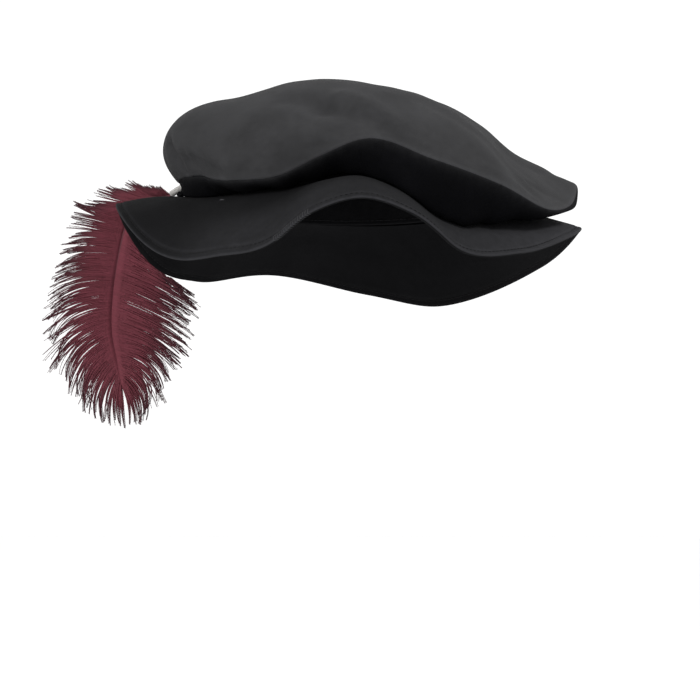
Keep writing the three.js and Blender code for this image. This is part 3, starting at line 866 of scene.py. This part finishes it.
def make_brim_ply(name, material, slot, side):
    """One ply of the brim. side is 1 for the upper ply and -1 for the lower."""
    start = (BAND_THICKNESS + BAND_GAP) / min(brim_reach(np.array([row["angle"] for row in BRIM])))
    shares = rows_to_edge(start, BRIM_WIDTH, EDGE_FINE)
    angle, share = grid(BRIM_COLUMNS, shares)
    point = brim_point(angle, share)
    normal = facing(brim_point, angle, share)
    to_edge = (1 - share) * BRIM_WIDTH
    to_band = (share - start) * BRIM_WIDTH
    rounding = rolled(to_edge, EDGE_ROUND)
    groove = bell(to_edge - STITCH_INSET, STITCH_SINK, STITCH_SPREAD)
    pucker = waviness(point, *PUCKER) * bell(to_edge, 1, PUCKER_WIDTH)
    swell = waviness(point, *SWELL) * smoothstep(0, SWELL_AT_BAND, to_band)
    swell = swell * smoothstep(0, SWELL_AT_EDGE, to_edge)
    outer = side * (BRIM_HALF - (BRIM_HALF - EDGE_OUTSIDE) * rounding - groove)
    outer = outer + (pucker + swell) * smoothstep(0, EDGE_CALM, to_edge)
    inner = side * np.maximum(EDGE_INSIDE, PLY_GAP / 2 - EDGE_TIGHT * rounding) + swell
    skins = [(point + normal * depth[..., None])[:, ::side] for depth in (outer, inner)]
    flat, size, area = disc(distances(point) + (HEAD_HALF_WIDTH + HEAD_HALF_LENGTH) / 2 + BAND_THICKNESS)
    # Paler towards the brim's edge by an amount that changes round the hat: painted light beyond the crown's
    # shadow, least in the cup beside the plume, with some rubbing by hands.
    handled_and_lit = np.maximum(around(BRIM, "rub", angle), 0) * smoothstep(*HANDLED_AND_LIT, share)
    # A paler line just inside the stitches: a painted highlight on the ridge there, which rubbing also wears.
    by_stitches = bell(to_edge - STITCH_INSET - STITCH_WEAR_AND_HIGHLIGHT_INSET, *STITCH_WEAR_AND_HIGHLIGHT)
    # Palest at the very edge: a painted highlight along the rolled edge, which rubbing also wears.
    wear = bell(to_edge, *EDGE_WEAR_AND_HIGHLIGHT) + by_stitches + handled_and_lit
    piece = shell(name, skins, flat, wear)
    dress(piece, material, slot, name.replace("_cloth", ""))


def make_headband(material):
    shares = rows_to_edge(0, BAND_HEIGHT, BAND_FINE, both=True)
    angle, share = grid(BAND_COLUMNS, shares)
    point = band_point(angle, share)
    out = unit(oval(angle, np.ones_like(angle)) - oval(angle, np.zeros_like(angle)))
    from_top = share * BAND_HEIGHT
    from_edge = np.minimum(from_top, BAND_HEIGHT - from_top)
    round_off = BAND_FALL * rolled(from_edge, BAND_ROUND)
    groove = sum(bell(from_top - at, *BAND_GROOVE) for at in BAND_STITCHES)
    seam = bell(angle - BAND_SEAM_ANGLE, *BAND_SEAM)
    inner = round_off + groove + seam + waviness(point, *BAND_RIPPLE)
    outer = BAND_THICKNESS - round_off - BAND_SLACK
    around_it = 2 * math.pi * math.sqrt((HEAD_HALF_WIDTH**2 + HEAD_HALF_LENGTH**2) / 2)
    columns = np.arange(BAND_COLUMNS + 1) * around_it / BAND_COLUMNS
    flat = np.stack(np.meshgrid(columns, shares * BAND_HEIGHT), axis=-1)
    skins = [point + out * depth[..., None] for depth in (outer, inner)]
    piece = shell("headband_cloth", skins, flat, bell(from_edge, *BAND_WEAR))
    dress(piece, material, "band_cloth", "headband")


def tube_faces(rings, sides):
    """The faces round a closed tube, and then its two ends, by the numbers of its points."""
    quads = []
    for a in range(0, (rings - 1) * sides, sides):
        for j in range(sides):
            n = (j + 1) % sides
            quads.append([a + j, a + n, a + sides + n, a + sides + j])
    last = (rings - 1) * sides
    return np.array(quads), np.array([range(sides)[::-1], range(last, last + sides)])


def tube(path, radius, sides):
    """The points and faces of a closed tube along a path."""
    path = np.asarray(path, float)
    forward = unit(np.gradient(path, axis=0))
    spare = (1, 0, 0) if abs(forward[0, 2]) > UPRIGHT else (0, 0, 1)
    across = [unit(np.cross(forward[0], spare))]
    for direction in forward[1:]:
        last = across[-1]
        across.append(unit(last - direction * (last @ direction)))
    across = np.array(across)
    up = np.cross(forward, across)
    radius = np.broadcast_to(radius, len(path))
    turn = np.arange(sides) * 2 * math.pi / sides
    rings = (
        path[:, None]
        + across[:, None] * (radius[:, None] * np.cos(turn))[..., None]
        + up[:, None] * (radius[:, None] * np.sin(turn))[..., None]
    )
    quads, ends = tube_faces(len(path), sides)
    return rings.reshape(-1, 3), quads.tolist() + ends.tolist()


def make_tubes(name, paths, radius, sides, material):
    """One piece of thread from many closed tubes."""
    points = []
    faces = []
    count = 0
    for path in paths:
        rings, round_it = tube(path, radius, sides)
        points.append(rings)
        faces += [[v + count for v in face] for face in round_it]
        count += len(rings)
    dress(piece_of(name, np.concatenate(points), faces), material, "thread")


def row_of_stitches(surface, proud, columns, share):
    """Stitches round the hat along a surface at a share of its width. Each dives into the cloth at both ends
    and lies proud in the middle."""
    angle = np.arange(columns * STITCH_LINE_STEPS) * 360 / (columns * STITCH_LINE_STEPS)
    share = np.full_like(angle, share)
    normal = facing(surface, angle, share) * np.sign(proud)
    line = surface(angle, share) + normal * abs(proud)
    line, normal = [np.concatenate([values, values[:1]]) for values in (line, normal)]
    travelled = distances(line)
    count = int(travelled[-1] / STITCH_PITCH)
    starts = np.arange(count)[:, None] * travelled[-1] / count
    start = at_places(starts, travelled, line)
    end = at_places(starts + STITCH_LENGTH, travelled, line)
    up = unit(at_places(starts + STITCH_LENGTH / 2, travelled, normal))
    rise = up * (STITCH_RISE[:, None] * STITCH_RADIUS)
    return list(start + (end - start) * STITCH_SHARE[:, None] + rise)


def make_stitches(material):
    for name, side in (("brim_stitches_upper", 1), ("brim_stitches_under", -1)):
        offset = side * (BRIM_HALF - STITCH_SINK)
        paths = row_of_stitches(brim_point, offset, BRIM_COLUMNS, 1 - STITCH_INSET / BRIM_WIDTH)
        make_tubes(name, paths, STITCH_RADIUS, STITCH_SIDES, material)
    paths = []
    for drop in BAND_STITCHES:
        paths += row_of_stitches(band_point, -BAND_STITCH_PROUD, BAND_COLUMNS, drop / BAND_HEIGHT)
    make_tubes("headband_stitches", paths, STITCH_RADIUS, STITCH_SIDES, material)


def make_closing_stitches(material):
    """The short slanting stitches by hand that close the gap in the brim's edge."""
    reach = CLOSING["reach"] / BRIM_WIDTH
    rise = (BRIM_HALF + CLOSING_PROUD) * CLOSING_RISE[:, None]
    count = len(CLOSING_RISE)
    paths = []
    for angle in np.arange(CLOSING["start"], CLOSING["end"], CLOSING["step"]):
        on_top = brim_point(np.full(count, angle), np.linspace(1 - reach, 1, count))
        below = brim_point(np.full(count, angle + CLOSING["slant"]), np.linspace(1, 1 - reach, count))
        up = facing(brim_point, np.full(count, angle), np.full(count, 1 - reach / 2))
        out = turned(angle) * CLOSING_OUT[:, None]
        paths.append(np.concatenate([on_top + up * rise + out, below - up * rise[::-1] + out[::-1]]))
    make_tubes("closing_stitches", paths, CLOSING["radius"], STITCH_SIDES, material)


def make_tack(material):
    """The two strands that hold the crown down on the brim."""
    count = len(TACK_ARCH)
    angle = np.full(count, TACK["angle"]) + np.linspace(-1, 1, count) * TACK["half_turn"]
    line = brim_point(angle, np.full(count, TACK["share"]))
    line[:, 2] += BRIM_HALF + TACK["rise"] * TACK_ARCH
    strands = [line, line + turned(TACK["angle"]) * TACK["apart"]]
    make_tubes("crown_tack", strands, TACK["radius"], TACK["sides"], material)


def shaft_points(share):
    """Places and directions along the shaft at shares of its length, on a smooth curve through its table."""
    p = np.array([(row["x"], row["y"], row["z"]) for row in SHAFT], float)
    p = np.concatenate([[2 * p[0] - p[1]], p, [2 * p[-1] - p[-2]]])
    t = (np.arange(SHAFT_STEPS) / SHAFT_STEPS)[:, None]
    line = []
    for i in range(1, len(p) - 2):
        before, here, there, after = p[i - 1:i + 3]
        d = [np.linalg.norm(b - a) ** 0.5 for a, b in ((before, here), (here, there), (there, after))]
        leave = ((here - before) / d[0] - (there - before) / (d[0] + d[1]) + (there - here) / d[1]) * d[1]
        arrive = ((there - here) / d[1] - (after - here) / (d[1] + d[2]) + (after - there) / d[2]) * d[1]
        line.append(
            here + leave * t
            + (3 * (there - here) - 2 * leave - arrive) * t**2
            + (2 * (here - there) + leave + arrive) * t**3
        )
    line = np.concatenate(line + [p[-2:-1]])
    travelled = distances(line)
    place = np.asarray(share) * travelled[-1]
    tip = unit(at_places(place, travelled, np.gradient(line, travelled, axis=0)))
    across = unit(np.cross(tip, PLUME_NORMAL))
    return at_places(place, travelled, line), tip, across, np.cross(across, tip), travelled[-1]


def shaft_radius(share):
    rows = len(SHAFT) - 1
    return np.interp(np.asarray(share) * rows, np.arange(rows + 1), [row["radius"] for row in SHAFT])


def barb_points(share, side, u, draw):
    """Points of barbs that leave the shaft at shares of its length. u runs from 0 at the shaft to 1 at the
    end, and draw holds random numbers for each barb."""
    name = "Left" if side > 0 else "Right"
    centre, tip, across, face, _ = shaft_points(share)
    lean, reach, bend, droop = [vane(key + name, share) for key in ("lean", "reach", "bend", "droop")]
    turn, longer, bent, bow = (draw * BARB_SPREAD).T
    lean = lean + turn
    reach = reach * (1 + longer)
    bend = bend * (1 + bent)
    angle = np.radians(lean[:, None] - bend[:, None] * u**BEND_GROWTH)[..., None]
    ahead = tip[:, None] * np.cos(angle) + across[:, None] * side * np.sin(angle)
    steps = (ahead[:, 1:] + ahead[:, :-1]) / 2 * np.diff(u)[:, None]
    path = np.concatenate([np.zeros_like(ahead[:, :1]), np.cumsum(steps, axis=1)], axis=1)
    u = u[None, :, None]
    root = ROOT_RISE * shaft_radius(share)[:, None, None] * (1 - u) ** 2
    return (
        centre[:, None]
        + path * reach[:, None, None]
        + face[:, None] * (root + bow[:, None, None] * u**BOW_GROWTH + BARB_ARCH * np.sin(np.pi * u))
        - np.array([0, 0, 1.0]) * droop[:, None, None] * u**DROOP_GROWTH
    )


def clear_of_brim(points, above):
    """Keeps barbs off the brim: those that start above it lie on it, and the others pass below it."""
    x, y, z = np.moveaxis(points, -1, 0)
    angle, distance = from_head(x, y)
    reach = brim_reach(angle)
    middle = brim_height(angle, np.clip(distance / reach, 0, 1))
    kept = np.where(above[:, None], np.maximum(z, middle + UNDER_BRIM), np.minimum(z, middle - UNDER_BRIM))
    return xyz(x, y, np.where(distance < reach + BRIM_MARGIN, kept, z))


def drawn(random, shape):
    """Random numbers from -1 to 1 that are mostly small."""
    return np.clip(random.normal(0, SPREAD, shape), -1, 1)


def barb_lines(side, random):
    """The middle lines of all the barbs on one side, with the shaft's outward direction at each. The barbs of
    a strand run apart at the shaft and cling together towards their ends."""
    first = VANE[0]["along"]
    order = (np.arange(BARBS) + BARB_JITTER * random.uniform(-1, 1, BARBS)) / (BARBS - 1)
    share = np.clip(first + (1 - first) * np.clip(order, 0, 1) ** BARB_CROWDING, first, 1)
    u = np.linspace(0, 1, BARB_STEPS + 1)
    own = barb_points(share, side, u, drawn(random, (BARBS, 4)))
    ends = np.cumsum(random.uniform(*STRAND_SIZES, int(2 * BARBS / STRAND)) * STRAND)
    strand = np.searchsorted(ends, np.arange(BARBS))
    character = drawn(random, (strand[-1] + 1, 5))
    middle_share = np.array([share[strand == k].mean() for k in range(len(character))])
    middle = barb_points(middle_share, side, u, character[:, :4] * STRAND_SPREAD)[strand]
    free = (STRAND_FREE[0] + STRAND_FREE[1] * character[strand, 4])[:, None]
    cling = CLING * np.clip((u - free) / (1 - free), 0, 1) ** CLING_GROWTH
    points = own * (1 - cling[..., None]) + middle * cling[..., None]
    return clear_of_brim(points, share < OVER_BRIM), shaft_points(share)[3], u


def barb_bodies(points, wide, thick, u):
    """Points and faces of the barbs themselves: flat at the shaft, where their down closes up, and thin at
    their ends."""
    turn = np.arange(BARB_SIDES) * 2 * math.pi / BARB_SIDES
    taper = (1 - (1 - BARB_END) * smoothstep(BARB_TAPER_FROM, 1, u))[None, :, None, None]
    ring = (
        points[:, :, None]
        + wide[:, :, None] * (BARB_HALF_WIDTH * taper) * np.cos(turn)[:, None]
        + thick[:, :, None] * (BARB_HALF_THICKNESS * taper) * np.sin(turn)[:, None]
    )
    offsets = np.arange(len(points))[:, None, None] * len(u) * BARB_SIDES
    faces = []
    for part in tube_faces(len(u), BARB_SIDES):
        faces += (part + offsets).reshape(-1, part.shape[1]).tolist()
    return ring.reshape(-1, 3), faces


def barbule_spikes(points, frames, tone, random):
    """Points of the soft barbules, each a fine spike of four points that slants forwards from its barb, with
    how far along its barb and of what tone each is."""
    forward, wide, thick = frames
    steps = points.shape[1] - 1
    roots = np.linspace(*BARBULES_ALONG, BARBULES)
    lower = np.minimum((roots * steps).astype(int), steps - 1)
    part = (roots * steps - lower)[None, :, None]
    place = points[:, lower] * (1 - part) + points[:, lower + 1] * part
    shape = (len(points), BARBULES, 1)
    shorter = 1 - BARBULE_SHORTER * roots[:, None] ** 2
    spikes = []
    for way in (1, -1):
        spin = random.uniform(-BARBULE_SPIN, BARBULE_SPIN, shape)
        slant = random.uniform(*BARBULE_SLANT, shape)
        sideways = wide[:, lower] * way * np.cos(spin) + thick[:, lower] * np.sin(spin)
        direction = unit(forward[:, lower] * np.cos(slant) + sideways * np.sin(slant))
        size = BARBULE_LENGTH * shorter * random.uniform(*BARBULE_SIZES, shape)
        across = unit(np.cross(direction, thick[:, lower] + BARBULE_TILT * forward[:, lower]))
        out = np.cross(direction, across)
        corners = [
            place + (across * math.cos(t) + out * math.sin(t)) * BARBULE_RADIUS
            for t in np.arange(3) * 2 * math.pi / 3
        ]
        spikes.append(np.stack(corners + [place + direction * size], axis=2).reshape(-1, 3))
    shape = (len(points), BARBULES, 4)
    along = np.broadcast_to(np.clip(roots[:, None] + BARBULE_TIP, 0, 1), shape).ravel()
    tones = np.broadcast_to(tone[:, None, None], shape).ravel()
    return np.concatenate(spikes), np.tile(along, 2), np.tile(tones, 2)


def make_vane(name, material, side, seed):
    """All the barbs on one side of the shaft, with the barbules that fringe them."""
    random = np.random.default_rng(seed)
    points, face, u = barb_lines(side, random)
    forward = unit(np.gradient(points, axis=1))
    wide = unit(np.cross(face[:, None], forward))
    thick = np.cross(forward, wide)
    tone = random.uniform(0, 1, len(points))
    body, faces = barb_bodies(points, wide, thick, u)
    spikes, spike_along, spike_tone = barbule_spikes(points, (forward, wide, thick), tone, random)
    spike = np.array([[0, 2, 1], [0, 1, 3], [1, 2, 3], [2, 0, 3]])
    firsts = len(body) + np.arange(0, len(spikes), 4)
    faces += (spike + firsts[:, None, None]).reshape(-1, 3).tolist()
    shape = (len(points), len(u), BARB_SIDES)
    along = np.concatenate([np.broadcast_to(u[:, None], shape).ravel(), spike_along])
    tone = np.concatenate([np.broadcast_to(tone[:, None, None], shape).ravel(), spike_tone])
    piece = piece_of(name, np.concatenate([body, spikes]), faces, along=along, tone=tone)
    dress(piece, material, "feather", "plume")


def make_shaft(material):
    share = np.linspace(0, 1, SHAFT_ROWS)
    radius = shaft_radius(share) * (1 - SHAFT_TAPER * share**3)
    piece = piece_of("plume_shaft", *tube(shaft_points(share)[0], radius, SHAFT_SIDES), SHARP_HORN)
    dress(piece, material, "feather", "plume")


def make_binding(material):
    """The thread wound round the quill, turn beside turn."""
    wound = BINDING["end"] - BINDING["start"]
    turns = wound * shaft_points(0.0)[4] / BINDING["pitch"]
    t = np.linspace(0, 1, int(turns * BINDING["steps"]))
    share = BINDING["start"] + wound * t
    centre, _, across, face, _ = shaft_points(share)
    angle = 2 * math.pi * turns * t
    radius = shaft_radius(share) + BINDING["thread"] + BINDING["gap"]
    path = centre + (across * np.cos(angle)[:, None] + face * np.sin(angle)[:, None]) * radius[:, None]
    piece = piece_of("quill_binding_thread", *tube(path, BINDING["thread"], BINDING["sides"]), SHARP_HORN)
    dress(piece, material, "thread", "quill_binding")


def make_camera():
    """The photograph's view: level with the brim's wave, from a little below, with a long lens."""
    data = bpy.data.cameras.new("camera")
    camera = place_object("camera", data, CAMERA_PLACE, lens=118.8, sensor_width=36, clip_end=20)
    camera.rotation_euler = (math.radians(90 + CAMERA_TILT), 0, 0)
    bpy.context.scene.camera = camera


def make_lamp(name, place, size, power):
    """A round soft lamp that shines on the hat."""
    data = bpy.data.lights.new(name, "AREA")
    light = place_object(name, data, place, shape="DISK", size=size, energy=power)
    light.rotation_euler = (-Vector(place)).to_track_quat("-Z", "Y").to_euler()


def make_studio():
    """A pale floor below the hat, a white sky and soft lamps."""
    low, high, height = FLOOR
    corners = [(low, low, height), (high, low, height), (high, high, height), (low, high, height)]
    mesh = bpy.data.meshes.new("floor")
    mesh.from_pydata(corners, [], [(0, 1, 2, 3)])
    floor = place_object("floor", mesh)
    material, tree, grain = new_material("pale_floor", "floor")
    base = mix(tree, grain, *[(grey, grey, grey, 1) for grey in FLOOR_GREYS])
    floor.data.materials.append(finished(material, Base_Color=base, Roughness=0.9))
    world = bpy.data.worlds.new("studio")
    world.use_nodes = True
    fill(world.node_tree, world.node_tree.nodes["Background"], {"Color": (1, 1, 1, 1), "Strength": SKY})
    bpy.context.scene.world = world
    bpy.context.scene.view_settings.view_transform = "Standard"
    for lamp in LAMPS:
        make_lamp(*lamp)


make_camera()
make_studio()

crown_wool, underside_wool, brim_wool, brim_twill, band_twill = [cloth_material(**row) for row in CLOTHS]
black_thread, dull_thread, grey_thread = [thread_material(**row) for row in THREADS]
feather = feather_material()

make_crown_top(crown_wool)
make_crown_underside(underside_wool)
make_brim_ply("brim_upper_cloth", brim_wool, "brim_cloth", side=1)
make_brim_ply("brim_under_cloth", brim_twill, "brim_facing", side=-1)
make_headband(band_twill)
make_stitches(black_thread)
make_closing_stitches(dull_thread)
make_tack(dull_thread)
make_shaft(shaft_material())
make_vane("plume_barbs_left", feather, side=1, seed=11)
make_vane("plume_barbs_right", feather, side=-1, seed=12)
make_binding(grey_thread)
